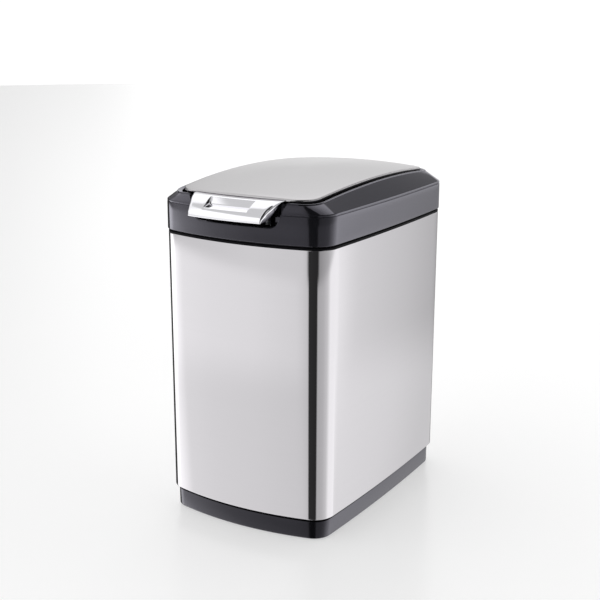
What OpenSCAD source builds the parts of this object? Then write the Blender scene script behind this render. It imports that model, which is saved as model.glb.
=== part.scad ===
// Push top countertop bin: stainless wrap on a plastic base, lift-out inner
// bucket, lift-off collar with a hinged arched lid and a chromed push bar.
// Millimetres. X across, -Y is the front, Z up. The origin is the centre of
// the bounding box on the surface the feet stand on.

/* [Body] */
// Width of the steel body
body_w = 160; // [150:1:170]
// Depth of the steel body, front to back
body_d = 230.5; // [222:0.5:240]
// Height at which the steel starts, above the base
steel_z0 = 18.6; // [17:0.1:20]
// Height of the steel's top edge
steel_z1 = 240.8; // [230:0.1:250]
// Thickness of the steel sheet
sheet_t = 0.7; // [0.5:0.1:0.9]
// Bow radius of the front face
front_bow = 259.6; // [230:1:320]
// Bow radius of the side faces
side_bow = 1912; // [1200:10:3000]
// Bow radius of the back face
back_bow = 1280; // [900:10:2500]
// Radius of the two front corners
corner_front = 19.5; // [17:0.5:22]
// Radius of the two rear corners
corner_rear = 20.5; // [18:0.5:22]

/* [Base] */
// How far the base stands in from the steel
base_inset = 3.4; // [2:0.1:5]
// Thickness of the base's walls
base_t = 2.2; // [1.8:0.1:3]
// Radius of one rubber foot
foot_r = 8; // [6:0.5:9]

/* [Bucket] */
// Wall of the inner bucket
bucket_t = 2.2; // [1.6:0.1:2.6]
// Height of the bucket's underside
bucket_z0 = 30; // [29:0.5:40]
// How far the bucket narrows from top to bottom, each side
bucket_draft = 5.8; // [3:0.1:8]

/* [Collar] */
// Height of the collar's lower edge
collar_z0 = 244; // [243.5:0.1:244.4]
// Height of the arris round the collar
collar_z1 = 268.6; // [268:0.1:269.2]
// How far the collar stands proud of the steel
collar_proud = 0.6; // [0.3:0.1:1]
// Top of the wall round the mouth
mouth_z1 = 274; // [270:0.5:275]

/* [Lid] */
// Width of the lid
lid_w = 129.6; // [126:0.1:131]
// Front edge of the lid at mid width, from the body's centre
lid_front = -109; // [-110:0.1:-108]
// Rear edge of the lid, from the body's centre
lid_rear = 98; // [97.6:0.1:98.2]
// Height of the lid's crown
lid_top = 287.4; // [286.8:0.1:288]
// Radius of the lid's arch, front to back
lid_arch = 870; // [840:5:900]
// Fall of the lid from its middle to its side edges
lid_crown = 3.1; // [2.6:0.1:3.4]
// Gap round the lid
lid_gap = 2.2; // [2:0.1:2.4]
// Width of the collar's flat rim round the lid, across both sides
rim_w = 139.2; // [138.6:0.1:139.6]
// Front and rear edges of that rim, from the body's centre
rim_front = -113.2; // [-113.3:0.1:-113]
rim_rear = 102.2; // [102:0.1:102.4]

/* [Hinge] */
// Hinge axis behind the body's centre
hinge_y = 90; // [89.9:0.1:90.1]
// Height of the hinge axis
hinge_z = 277.6; // [277.5:0.1:277.7]
// Radius of the lid's hinge pins
hinge_r = 1.1; // [1:0.05:1.15]
// Radius of the latch pins
pin_r = 1.5; // [1.4:0.05:1.5]
// Radial running clearance of a pin in a moving part
run_gap = 0.06; // [0.03:0.01:0.1]

/* [Latch] */
// Pivot of the push bar's lever, front of the body's centre
pivot_y = -96; // [-96.2:0.1:-95.9]
// Height of that pivot
pivot_z = 264; // [263.8:0.1:264.2]
// Half width of the finger notch
notch_w = 20.6; // [18:0.1:21]

/* [Hidden] */
$fn = 48;
// The front bar stands out past the body, so the body sits this far behind
// the middle of the bounding box.
shift = 7.72;

steel = "#c9c9c8";
black = "#2b2b2e";
dark = "#1c1c1e";
chrome = "#e6e8ea";
zinc = "#a9adb0";
grey = "#8d8f92";

// ---------- plan outlines ----------
// Meeting point of two circles, the one lying furthest towards d.
function meet(a, ra, b, rb, d) =
  let (v = b - a, l = norm(v), t = (ra*ra - rb*rb + l*l)/(2*l),
       h = sqrt(max(ra*ra - t*t, 0)), m = a + v*t/l, n = [-v[1], v[0]]/l,
       p = m + n*h, q = m - n*h)
  p*d > q*d ? p : q;
function ang(v) = atan2(v[1], v[0]);
function arcp(c, r, a0, a1, n, first) =
  [for (i = [first:n]) c + r*[cos(a0 + (a1 - a0)*i/n), sin(a0 + (a1 - a0)*i/n)]];
// Bowed rectangle with four bowed sides and round corners, counter-clockwise
// from the middle of the front. Every outline has the same number of points
// in the same order, so any two of them can be joined ring to ring.
function outline(w, d, rf, rs, rb, cf, cr, inset, yc) =
  let (kf = [0, -d/2 + rf], ks = [w/2 - rs, 0], kb = [0, d/2 - rb],
       c1 = meet(kf, rf - cf, ks, rs - cf, [1, -1]),
       c2 = meet(kb, rb - cr, ks, rs - cr, [1, 1]),
       r1 = max(cf - inset, 0.5), r2 = max(cr - inset, 0.5),
       half = concat(
         arcp(kf, rf - inset, -90, ang(c1 - kf), 10, 0),
         arcp(c1, r1, ang(c1 - kf), ang(c1 - ks), 8, 1),
         arcp(ks, rs - inset, ang(c1 - ks), ang(c2 - ks), 6, 1),
         arcp(c2, r2, ang(c2 - ks), ang(c2 - kb), 8, 1),
         arcp(kb, rb - inset, ang(c2 - kb), 90, 6, 1)),
       n = len(half))
  [for (i = [0:2*n - 3]) let (p = i < n ? half[i] : [-half[2*n - 2 - i][0], half[2*n - 2 - i][1]])
     [p[0], p[1] + yc]];
function body(i) = outline(body_w, body_d, front_bow, side_bow, back_bow, corner_front, corner_rear, i, shift);
lid_d = lid_rear - lid_front;
lid_c = (lid_rear + lid_front)/2;
function lidp(i) = outline(lid_w, lid_d, 245, 1912, 1280, 20, 9, i, lid_c + shift);
function rimp(i) = outline(rim_w, rim_rear - rim_front, 245, 1912, 1280, 18, 12, i, (rim_rear + rim_front)/2 + shift);
mouth_front = -84;
function mouth(i) = outline(lid_w - 12, 79.4 - mouth_front + 2, 1600, 1912, 1600, 14, 12, i, (79.4 + mouth_front - 2)/2 + shift);
function at(ps, z) = [for (p = ps) [p[0], p[1], z]];
// Arched and crowned lid surface.
function lz(x, y) = lid_top - pow(y - shift - 8.5, 2)/(2*lid_arch) - lid_crown*pow(x/(lid_w/2), 2);
function on_lid(ps, drop) = [for (p = ps) [p[0], p[1], lz(p[0], p[1]) - drop]];
function toward(ps, s, c) = [for (p = ps) [c[0] + (p[0] - c[0])*s, c[1] + (p[1] - c[1])*s]];

// ---------- lofts ----------
// Closed solid from rings, capped at a first and a last point.
module stack(rings, first, last) {
  n = len(rings[0]);
  m = len(rings);
  pts = concat([for (r = rings) each r], [first, last]);
  f0 = m*n;
  polyhedron(points = pts, convexity = 8, faces = concat(
    [for (i = [0:n - 1]) [f0, (i + 1) % n, i]],
    [for (k = [0:m - 2], i = [0:n - 1]) each [
      [k*n + i, k*n + (i + 1) % n, (k + 1)*n + i],
      [k*n + (i + 1) % n, (k + 1)*n + (i + 1) % n, (k + 1)*n + i]]],
    [for (i = [0:n - 1]) [f0 + 1, (m - 1)*n + i, (m - 1)*n + (i + 1) % n]]));
}
// Closed ring: the last section joins the first again.
module loop(rings) {
  n = len(rings[0]);
  m = len(rings);
  polyhedron(points = [for (r = rings) each r], convexity = 8, faces =
    [for (k = [0:m - 1], i = [0:n - 1]) let (q = (k + 1) % m) each [
      [k*n + i, q*n + i, k*n + (i + 1) % n],
      [k*n + (i + 1) % n, q*n + i, q*n + (i + 1) % n]]]);
}
// Flat wall between two outlines.
module band(a, b, z0, z1) {
  translate([0, 0, z0]) linear_extrude(z1 - z0) difference() { polygon(a); polygon(b); }
}
module plate(a, z0, z1) { translate([0, 0, z0]) linear_extrude(z1 - z0) polygon(a); }
// Wire of round section along a path of points.
function unit(v) = v/norm(v);
module wire(path, r, up) {
  n = len(path);
  k = 8;
  ring = function (i) let (
    t = unit(path[min(i + 1, n - 1)] - path[max(i - 1, 0)]),
    a = unit(cross(up, t)), b = cross(t, a))
    [for (j = [0:k - 1]) path[i] + r*(a*cos(j*360/k) + b*sin(j*360/k))];
  polyhedron(points = [for (i = [0:n - 1]) each ring(i)], convexity = 10, faces = concat(
    [[for (j = [0:k - 1]) k - 1 - j]],
    [for (i = [0:n - 2], j = [0:k - 1]) each [
      [i*k + j, i*k + (j + 1) % k, (i + 1)*k + j],
      [i*k + (j + 1) % k, (i + 1)*k + (j + 1) % k, (i + 1)*k + j]]],
    [[for (j = [0:k - 1]) (n - 1)*k + j]]));
}
module xcyl(x0, x1, y, z, r) { translate([x0, y + shift, z]) rotate([0, 90, 0]) cylinder(h = x1 - x0, r = r); }
module ycyl(x, y0, y1, z, r) { translate([x, y0 + shift, z]) rotate([-90, 0, 0]) cylinder(h = y1 - y0, r = r); }
module zcyl(x, y, z0, z1, r) { translate([x, y + shift, z0]) cylinder(h = z1 - z0, r = r); }
module box(x0, x1, y0, y1, z0, z1) { translate([x0, y0 + shift, z0]) cube([x1 - x0, y1 - y0, z1 - z0]); }
// Profile in the YZ plane, extruded across X.
module across(x0, x1, pts) {
  translate([x0, shift, 0]) rotate([90, 0, 90]) linear_extrude(x1 - x0) polygon(pts);
}
module sides() { children(); mirror([1, 0, 0]) children(); }

// ---------- body ----------
screw_at = [[34, -101], [69, 0], [34, 103]];
module outer_shell() color(steel) {
  band(body(0), body(sheet_t), steel_z0, steel_z1);
  band(body(sheet_t*0.5), body(8), steel_z0, steel_z0 + sheet_t);
}
module body_rim() color(black) {
  band(body(0), body(3.5), steel_z1, steel_z1 + 1.9);
  band(body(sheet_t + 0.2), body(2.9), steel_z1 - 12.8, steel_z1);
  band(body(2.4), body(6.5), steel_z1 - 7.8, steel_z1 - 5.8);
}
module base_tray() color(black) {
  difference() {
    union() {
      band(body(base_inset), body(base_inset + base_t), 0.8, steel_z0);
      plate(body(base_inset + 0.5), steel_z0 - base_t, steel_z0);
      for (p = [[54, -84], [54, 92]]) sides() zcyl(p[0], p[1], 3.2, steel_z0 - base_t, foot_r + 1.4);
      sides() box(18, 20, -104, 106, 6, steel_z0 - base_t);
      box(-70, 70, -2, 0, 6, steel_z0 - base_t);
    }
    for (p = screw_at) sides() zcyl(p[0], p[1], steel_z0 - base_t - 14, steel_z0 - base_t, 4.2);
    for (p = screw_at) sides() zcyl(p[0], p[1], steel_z0 - base_t - 1, steel_z0 + 1, 2.1);
  }
}
module clamp_ring() color(black) {
  difference() {
    union() {
      band(body(1.2), body(16), steel_z0 + sheet_t, steel_z0 + sheet_t + 3);
      for (p = screw_at) sides() zcyl(p[0], p[1], steel_z0 + sheet_t, 28, 4.4);
    }
    for (p = screw_at) sides() zcyl(p[0], p[1], steel_z0, 26.4, 2.02);
  }
}
module base_screws() color(zinc) {
  for (p = screw_at) sides() {
    zcyl(p[0], p[1], steel_z0 - base_t - 2.2, steel_z0 - base_t, 3.6);
    zcyl(p[0], p[1], steel_z0 - base_t - 0.5, 26, 2);
  }
}
module rubber_feet() color(dark) {
  for (p = [[54, -84], [54, 92]]) sides() {
    zcyl(p[0], p[1], 0.6, 3.2, foot_r);
    zcyl(p[0], p[1], 0, 1, foot_r - 0.6);
  }
}

// ---------- bucket ----------
bucket_z1 = steel_z1 - 5.8;
module inner_bucket() color(grey) {
  top = 8.2;
  stack([at(body(top + bucket_t + bucket_draft), bucket_z0 + bucket_t),
         at(body(top + bucket_t), bucket_z1 + 2),
         at(body(3.4), bucket_z1 + 2), at(body(3.4), bucket_z1),
         at(body(top), bucket_z1), at(body(top + bucket_draft), bucket_z0)],
        [0, shift, bucket_z0 + bucket_t], [0, shift, bucket_z0]);
  // grip ledges at the sides
  sides() box(61.5, 70.6, -26, 26, bucket_z1 - 0.6, bucket_z1 + 2);
}

// ---------- collar ----------
// Outer wall, parting groove, arris and the slope up to the lid's rim.
function collar_rings() = [
  at(body(-collar_proud), collar_z0),
  at(body(-collar_proud), collar_z1 - 2.4),
  at(body(0.1), collar_z1 - 2.1),
  at(body(0.1), collar_z1 - 1.6),
  at(body(-collar_proud + 0.1), collar_z1 - 1.3),
  at(body(0), collar_z1 - 0.6),
  at(body(1.1), collar_z1),
  on_lid(rimp(-0.35), 2.7),
  on_lid(rimp(0), 2.9),
  on_lid(rimp(0), 2),
  on_lid(rimp(0.35), 1.7),
  on_lid(lidp(-lid_gap - 0.3), 1.75),
  on_lid(lidp(-lid_gap), 2),
  on_lid(lidp(-lid_gap), 5.5),
  at(body(3.2), collar_z1 - 2.5),
  at(body(1.6), collar_z1 - 3.8),
  at(body(1.6), collar_z0)];
// Slope height over a point near the side wall, for the screw bosses.
function side_slope(x, y) = collar_z1 + (body_w/2 - 1.1 - x)*(lz(rim_w/2, y + shift) - 2.9 - collar_z1)/(body_w/2 - 1.1 - rim_w/2);
function rear_slope(x, y) = collar_z1 + (body_d/2 - 1.1 - y)*(lz(x, rim_rear + shift) - 2.9 - collar_z1)/(body_d/2 - 1.1 - rim_rear);
boss_at = [for (y = [-56, 30]) [70.5, y, side_slope(74.5, y) - 0.5], [45, 103, rear_slope(45, 107) - 0.5]];
// Pocket behind the push bar, seen from the front.
function pocket(e, top) = concat(
  [[46 + e + (top - 280)*0.39, top], [39.6 + e, 264]],
  [for (a = [0:15:90]) [31.6 + (8 + e)*cos(a), 264.5 - (8 + e)*sin(a)]],
  [for (a = [90:15:180]) [-31.6 + (8 + e)*cos(a), 264.5 - (8 + e)*sin(a)]],
  [[-39.6 - e, 264], [-46 - e - (top - 280)*0.39, top]]);
module pocket_cut(y0, y1, e, top) {
  translate([0, y1 + shift, 0]) rotate([90, 0, 0]) linear_extrude(y1 - y0) polygon(pocket(e, top));
}
module collar() color(black) {
  difference() {
    union() {
      loop(collar_rings());
      // pocket walls and floor
      intersection() {
        pocket_cut(-118, -100, 2, 274);
        translate([0, front_bow - body_d/2 + shift, 240]) cylinder(h = 60, r = front_bow - 0.2, $fn = 96);
        across(-60, 60, [[-118, 250], [-118, 262], [-109.4, 262], [-109.2, 268], [-107, 274], [-99, 274], [-99, 250]]);
      }
      for (p = boss_at) sides() zcyl(p[0], p[1], 246.2, p[2], 4);
    }
    pocket_cut(-140, -102, 0, 300);
    // slots for the lever's arms
    sides() box(22, 30, -104, -98, 258.4, 269.2);
    for (p = boss_at) sides() zcyl(p[0], p[1], 245, 258.5, 1.45);
  }
}
knuckle_r = 2.6;
damper_r = 3.2;
module collar_frame() color(dark) {
  difference() {
    union() {
      // flange plate, seat rib, locating skirt
      band(body(2.4), mouth(1), collar_z0, collar_z0 + 2.2);
      band(body(2.4), body(5), steel_z1 + 1.9, collar_z0 + 0.5);
      band(body(3.6), body(5.2), 238, steel_z1 + 3);
      // wall round the mouth
      band(mouth(0), mouth(2), 239.5, mouth_z1);
      // pads for the bumpers
      for (y = [-70, 64]) sides() box(52, 59.4, y - 4, y + 4, mouth_z1 - 6, mouth_z1);
      // latch bearings
      sides() {
        box(29.6, 32.8, -99.8, -85, collar_z0 + 1, 268.6);
        box(19.2, 22.4, -99.8, -85, collar_z0 + 1, 268.6);
      }
      // fixed hinge knuckles on brackets that reach back from the mouth's wall
      sides() for (x = [[42, 48], [20, 26]]) {
        xcyl(x[0], x[1], hinge_y, hinge_z, knuckle_r);
        across(x[0], x[1], [[78.5, 266.5], [84.5, 266.5], [hinge_y, hinge_z - knuckle_r], [hinge_y, hinge_z], [86, 278.2], [78.5, 273.9]]);
      }
      // damper cradle, and the floor under the lid's rear edge
      across(-9, 9, [[78.5, 266.5], [84, 266.5], [88.6, 273.8], [88.6, 277.6], [86.4, 277.6], [78.5, 273.9]]);
      box(-57, 57, 78.5, 98.4, 265.4, 267);
      for (x = [-45.8, -15, 13.4, 44.2]) box(x, x + 1.6, 78.5, 96, collar_z0 + 1, 266);
    }
    sides() xcyl(19, 33, pivot_y, pivot_z, pin_r);
    // window in the inner bearings for the lever's crossbar
    sides() box(19, 22.6, -93.1, -88.2, 257.6, 263.4);
    sides() xcyl(19, 49, hinge_y, hinge_z, hinge_r);
    xcyl(-10.6, 10.6, hinge_y, hinge_z, damper_r + 0.05);
    for (p = boss_at) sides() zcyl(p[0], p[1], 243, 247, 1.7);
  }
}
module collar_screws() color(zinc) {
  for (p = boss_at) sides() {
    zcyl(p[0], p[1], collar_z0 - 2, collar_z0, 3.2);
    zcyl(p[0], p[1], collar_z0 - 0.5, 258, 1.4);
  }
}
module hinge_pins() color(zinc) {
  sides() xcyl(20, 48, hinge_y, hinge_z, hinge_r);
}
module damper_housing() color(dark) {
  difference() {
    xcyl(-10.5, 10.5, hinge_y, hinge_z, damper_r);
    xcyl(-11, -4, hinge_y, hinge_z, hinge_r + run_gap);
  }
}
spring_r = 1.95;
module lid_springs() color(zinc) {
  sides() wire([for (i = [0:84]) let (a = i*5.75*360/84) [27.1 + i*5.8/84, hinge_y + shift + spring_r*cos(a), hinge_z + spring_r*sin(a)]], 0.38, [1, 0, 0]);
}
module latch_pins() color(zinc) {
  sides() xcyl(19.2, 32.8, pivot_y, pivot_z, pin_r);
}
module latch_springs() color(zinc) {
  z0 = 256.9;
  z1 = 261.6;
  sides() wire([for (i = [0:63]) let (a = i*360*4.5/63) [26 + 1.9*cos(a), -105.4 + shift + 1.9*sin(a), z0 + (z1 - z0)*i/63]], 0.36, [0, 0, 1]);
}
module lid_bumpers() color(dark) {
  for (y = [-70, 64]) sides()
    zcyl(55.6, y, mouth_z1, lz(55.6 + 2.4, (y < 0 ? y - 2.4 : y + 2.4) + shift) - 2.75, 2.4);
}

// ---------- lid ----------
lid_mid = [0, lid_c + shift];
module lid_panel() color(steel) {
  o = lidp(0);
  stack([on_lid(toward(lidp(0.5), 0.3, lid_mid), 0), on_lid(toward(lidp(0.5), 0.6, lid_mid), 0),
         on_lid(toward(lidp(0.5), 0.85, lid_mid), 0), on_lid(lidp(0.7), 0),
         on_lid(lidp(0.2), 0.25), on_lid(o, 0.8), on_lid(o, 2), on_lid(lidp(0.6), 2),
         on_lid(lidp(0.6), 0.9), on_lid(lidp(0.9), 0.6),
         on_lid(toward(lidp(0.5), 0.85, lid_mid), 0.6),
         on_lid(toward(lidp(0.5), 0.6, lid_mid), 0.6), on_lid(toward(lidp(0.5), 0.3, lid_mid), 0.6)],
        [0, lid_mid[1], lz(0, lid_mid[1])], [0, lid_mid[1], lz(0, lid_mid[1]) - 0.6]);
}
module lid_frame() color(black) {
  difference() {
    union() {
      stack([on_lid(toward(lidp(0.9), 0.4, lid_mid), 0.85), on_lid(toward(lidp(0.9), 0.75, lid_mid), 0.85),
             on_lid(lidp(1.2), 0.85), on_lid(lidp(0.8), 1.15), on_lid(lidp(0.8), 8.5), on_lid(lidp(2.9), 8.5),
             on_lid(lidp(2.9), 2.6), on_lid(toward(lidp(2.9), 0.75, lid_mid), 2.6),
             on_lid(toward(lidp(2.9), 0.4, lid_mid), 2.6)],
            [0, lid_mid[1], lz(0, lid_mid[1]) - 0.85], [0, lid_mid[1], lz(0, lid_mid[1]) - 2.6]);
      // bridges and moving knuckles
      for (x = [[34, 41.6], [-41.6, -34], [-19.6, -11], [11, 19.6]]) let (t = lz(max(abs(x[0]), abs(x[1])), 95.2 + shift) - 1.5) {
        xcyl(x[0], x[1], hinge_y, hinge_z, knuckle_r);
        across(x[0], x[1], [[84.6, t + 0.6], [87.5, 276.4], [90, 275], [92.5, 276.4], [95.2, t]]);
      }
      // block that carries the striker
      box(-11, 11, -95.95, -89.5, 265.6, 279);
      // stiffening ribs under the plate
      for (x = [-32, 32]) across(x - 0.8, x + 0.8, concat(
        [for (y = [-84:16:76]) [y, lz(33, y + shift) - 2.2]],
        [for (y = [76:-16:-84]) [y, lz(33, y + shift) - 5.6]]));
    }
    // relief in front of the push bar
    box(-51, 51, -115, -99.4, 262, 276.6);
    // shallower skirt at the rear, and room for the fixed knuckles, springs and damper
    box(-80, 80, 91, 110, 260, 276.2);
    sides() xcyl(41.8, 48.4, hinge_y, hinge_z, knuckle_r + 0.35);
    sides() xcyl(19.8, 33.8, hinge_y, hinge_z, knuckle_r + 0.35);
    xcyl(-10.8, 10.8, hinge_y, hinge_z, damper_r + 0.35);
    for (x = [[34, 41.6], [-41.6, -34], [11, 19.6]]) xcyl(x[0] - 1, x[1] + 1, hinge_y, hinge_z, hinge_r + run_gap);
    xcyl(-20, -10, hinge_y, hinge_z, hinge_r);
    sides() ycyl(6, -96.5, -90.6, 271.5, 1.05);
  }
}
module lid_striker() color(zinc) {
  difference() {
    box(-9.5, 9.5, -97.45, -95.95, 254.4, 275.8);
    box(-6.8, 6.8, -98, -95, 258, 263);
    sides() ycyl(6, -98, -95, 271.5, 1.3);
  }
}
module striker_screws() color(zinc) {
  sides() {
    ycyl(6, -98.7, -97.45, 271.5, 2.3);
    ycyl(6, -98, -91, 271.5, 1);
  }
}
module damper_rotor() color(zinc) {
  xcyl(-19.5, -4.6, hinge_y, hinge_z, hinge_r);
}

// ---------- push bar ----------
// Section at the ends of the bar: [half width, y, z], front face from the
// lid's edge down, then back up the rear face.
bar_front = [[41.8, -106.3, 277.3], [40.8, -111.5, 276.8], [39.6, -116.5, 275.3], [38.2, -120, 273.4],
  [36.6, -123.2, 271.2], [35.4, -126, 268.6], [34.4, -128, 266], [33.7, -129.1, 263.8], [33.2, -128.9, 262.2], [33.1, -127.8, 261.7]];
bar_back = [[33.8, -123, 263.3], [35, -117.4, 266.2], [37, -112.4, 270], [39.4, -108.4, 274]];
bar_loop = concat(bar_front, bar_back);
bar_pts = [for (i = [len(bar_loop) - 1:-1:0]) bar_loop[i]];
stations = [for (u = [-1, -0.985, -0.85, -0.6, -0.3, 0, 0.3, 0.6, 0.85, 0.985, 1]) u];
module push_bar() color(chrome) {
  k = len(bar_pts);
  m = len(stations);
  p = [for (u = stations) each [for (b = bar_pts) let (x = u*b[0])
        [x, b[1] + shift - (b[0]*b[0] - x*x)/520, b[2]]]];
  difference() {
    union() {
      polyhedron(points = p, convexity = 6, faces = concat(
        [[for (j = [0:k - 1]) k - 1 - j]],
        [for (i = [0:m - 2], j = [0:k - 1]) each [
          [i*k + j, i*k + (j + 1) % k, (i + 1)*k + j],
          [i*k + (j + 1) % k, (i + 1)*k + (j + 1) % k, (i + 1)*k + j]]],
        [[for (j = [0:k - 1]) (m - 1)*k + j]]));
      sides() ycyl(14, -120, -110, 267, 3.2);
    }
    // finger notch
    across(-notch_w, notch_w, [[-112.6, 290], [-112.6, 278], [-116.6, 271.4], [-126, 269.6], [-140, 269.6], [-140, 290]]);
    sides() ycyl(14, -117.4, -109, 267, 1.25);
  }
}
module latch_lever() color(black) {
  difference() {
    union() {
      box(-31, 31, -110, -108, 261.8, 271);
      sides() {
        box(23, 29, -108.5, pivot_y, 262, 267.4);
        xcyl(22.8, 29.2, pivot_y, pivot_z, 3.4);
        box(23, 29, pivot_y, -89.6, 258.4, 264);
      }
      box(-29, 29, -92.4, -89.6, 258.4, 262);
      // hook nose, just short of the striker's window
      across(-6, 6, [[-92, 258.4], [-92, 261.8], [-94.2, 261.4], [-95.65, 260], [-95.65, 258.4]]);
    }
    sides() xcyl(22, 30, pivot_y, pivot_z, pin_r + run_gap);
    sides() ycyl(14, -111, -107, 267, 1.45);
  }
}
module latch_screws() color(zinc) {
  sides() {
    ycyl(14, -108, -106.2, 267, 2.6);
    ycyl(14, -117, -107.5, 267, 1.2);
  }
}

outer_shell();
body_rim();
base_tray();
clamp_ring();
base_screws();
rubber_feet();
inner_bucket();
collar();
collar_frame();
collar_screws();
hinge_pins();
damper_housing();
lid_springs();
latch_pins();
latch_springs();
lid_bumpers();
lid_panel();
lid_frame();
lid_striker();
striker_screws();
damper_rotor();
push_bar();
latch_lever();
latch_screws();
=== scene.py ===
"""Push top countertop bin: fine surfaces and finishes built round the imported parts."""
import math
import bpy
import bmesh
import numpy as np
from mathutils import Vector, Matrix
from mathutils.bvhtree import BVHTree


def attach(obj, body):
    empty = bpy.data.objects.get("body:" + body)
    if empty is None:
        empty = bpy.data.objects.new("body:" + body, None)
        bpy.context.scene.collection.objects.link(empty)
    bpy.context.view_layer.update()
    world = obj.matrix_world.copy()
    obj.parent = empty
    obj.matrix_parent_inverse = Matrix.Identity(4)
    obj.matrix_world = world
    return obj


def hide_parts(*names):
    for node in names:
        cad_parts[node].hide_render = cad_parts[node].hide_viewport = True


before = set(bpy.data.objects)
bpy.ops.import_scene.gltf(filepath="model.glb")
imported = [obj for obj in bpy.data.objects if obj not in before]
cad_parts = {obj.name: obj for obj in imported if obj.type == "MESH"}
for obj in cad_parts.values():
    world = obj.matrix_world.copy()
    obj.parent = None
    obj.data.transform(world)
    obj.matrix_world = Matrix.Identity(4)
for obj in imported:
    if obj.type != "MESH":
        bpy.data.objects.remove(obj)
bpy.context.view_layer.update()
SC = bpy.context.scene
COL = SC.collection
MM = 0.001
SH = 7.72  # the body's middle lies this far behind the frame's origin, mm


# ------------------------------------------------------------------ outlines
def meet(a, ra, b, rb, d):
    v = b - a
    l = np.hypot(*v)
    t = (ra * ra - rb * rb + l * l) / (2 * l)
    h = math.sqrt(max(ra * ra - t * t, 0))
    m = a + v * t / l
    n = np.array([-v[1], v[0]]) / l
    p, q = m + n * h, m - n * h
    return p if p @ d > q @ d else q


def outline(w, d, rf, rs, rb, cf, cr, inset, yc, n=(44, 18, 40, 18, 30)):
    """Bowed rectangle with round corners, counter-clockwise from the middle of the front."""
    kf, ks, kb = np.array([0, -d / 2 + rf]), np.array([w / 2 - rs, 0]), np.array([0, d / 2 - rb])
    c1 = meet(kf, rf - cf, ks, rs - cf, np.array([1, -1.0]))
    c2 = meet(kb, rb - cr, ks, rs - cr, np.array([1, 1.0]))
    r1, r2 = max(cf - inset, 0.5), max(cr - inset, 0.5)
    ang = lambda v: math.atan2(v[1], v[0])

    def arc(c, r, a0, a1, k, first):
        a = a0 + (a1 - a0) * np.arange(first, k + 1) / k
        return np.stack([c[0] + r * np.cos(a), c[1] + r * np.sin(a)], 1)

    half = np.vstack([
        arc(kf, rf - inset, -math.pi / 2, ang(c1 - kf), n[0], 0),
        arc(c1, r1, ang(c1 - kf), ang(c1 - ks), n[1], 1),
        arc(ks, rs - inset, ang(c1 - ks), ang(c2 - ks), n[2], 1),
        arc(c2, r2, ang(c2 - ks), ang(c2 - kb), n[3], 1),
        arc(kb, rb - inset, ang(c2 - kb), math.pi / 2, n[4], 1)])
    other = half[1:-1][::-1] * [-1, 1]
    return np.vstack([half, other]) + [0, yc]


def body(i):
    return outline(160, 230.5, 259.6, 1912, 1280, 19.5, 20.5, i, SH)


LID_F, LID_R = -109.0, 98.0
LID_C = (LID_F + LID_R) / 2


def lidp(i):
    return outline(129.6, LID_R - LID_F, 245, 1912, 1280, 20, 9, i, LID_C + SH)


def rimp(i):
    """Outer edge of the collar's flat rim round the lid."""
    return outline(139.2, 215.4, 245, 1912, 1280, 18, 12, i, -5.5 + SH)


def mouth(i):
    return outline(117.6, 165.4, 1600, 1912, 1600, 14, 12, i, -3.3 + SH)


def lz(x, y):
    return 287.4 - (y - SH - 8.5) ** 2 / 1740 - 3.1 * (x / 64.8) ** 2


def at(p, z):
    return np.column_stack([p, np.full(len(p), float(z)) if np.isscalar(z) else z])


def on_lid(p, drop):
    return np.column_stack([p, lz(p[:, 0], p[:, 1]) - drop])


def toward(p, s, c):
    return c + (p - c) * s


# ------------------------------------------------------------------ mesh making
def unit(v):
    return v / np.maximum(np.linalg.norm(v, axis=-1, keepdims=True), 1e-12)


def fillet(a, b, c, r, n):
    """Rings of an arc of radius r that rounds the corner b between a and c, point by point."""
    u, v = a - b, c - b
    lu, lv = np.linalg.norm(u, axis=1), np.linalg.norm(v, axis=1)
    u, v = unit(u), unit(v)
    cosang = np.clip((u * v).sum(1), -0.9999, 0.9999)
    half = np.arccos(cosang) / 2
    length = np.minimum(r / np.tan(half), 0.45 * np.minimum(lu, lv))
    rr = length * np.tan(half)
    mid = unit(u + v)
    cen = b + mid * (rr / np.sin(half))[:, None]
    s, e = b + u * length[:, None] - cen, b + v * length[:, None] - cen
    om = np.pi - 2 * half
    out = []
    for k in range(n + 1):
        t = k / n
        so = np.maximum(np.sin(om), 1e-9)
        w0, w1 = np.sin((1 - t) * om) / so, np.sin(t * om) / so
        flat = om < 1e-3
        w0, w1 = np.where(flat, 1 - t, w0), np.where(flat, t, w1)
        out.append(cen + s * w0[:, None] + e * w1[:, None])
    return out


def profile(corners, closed=True):
    """corners: (ring, radius, segments). Returns the rings with every corner rounded."""
    m, out = len(corners), []
    for i, (ring, r, n) in enumerate(corners):
        if not r or (not closed and i in (0, m - 1)):
            out.append(ring)
        else:
            out += fillet(corners[i - 1][0], ring, corners[(i + 1) % m][0], r, n)
    return out


def between(a, b, n):
    return [a + (b - a) * k / (n + 1) for k in range(1, n + 1)]


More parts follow.
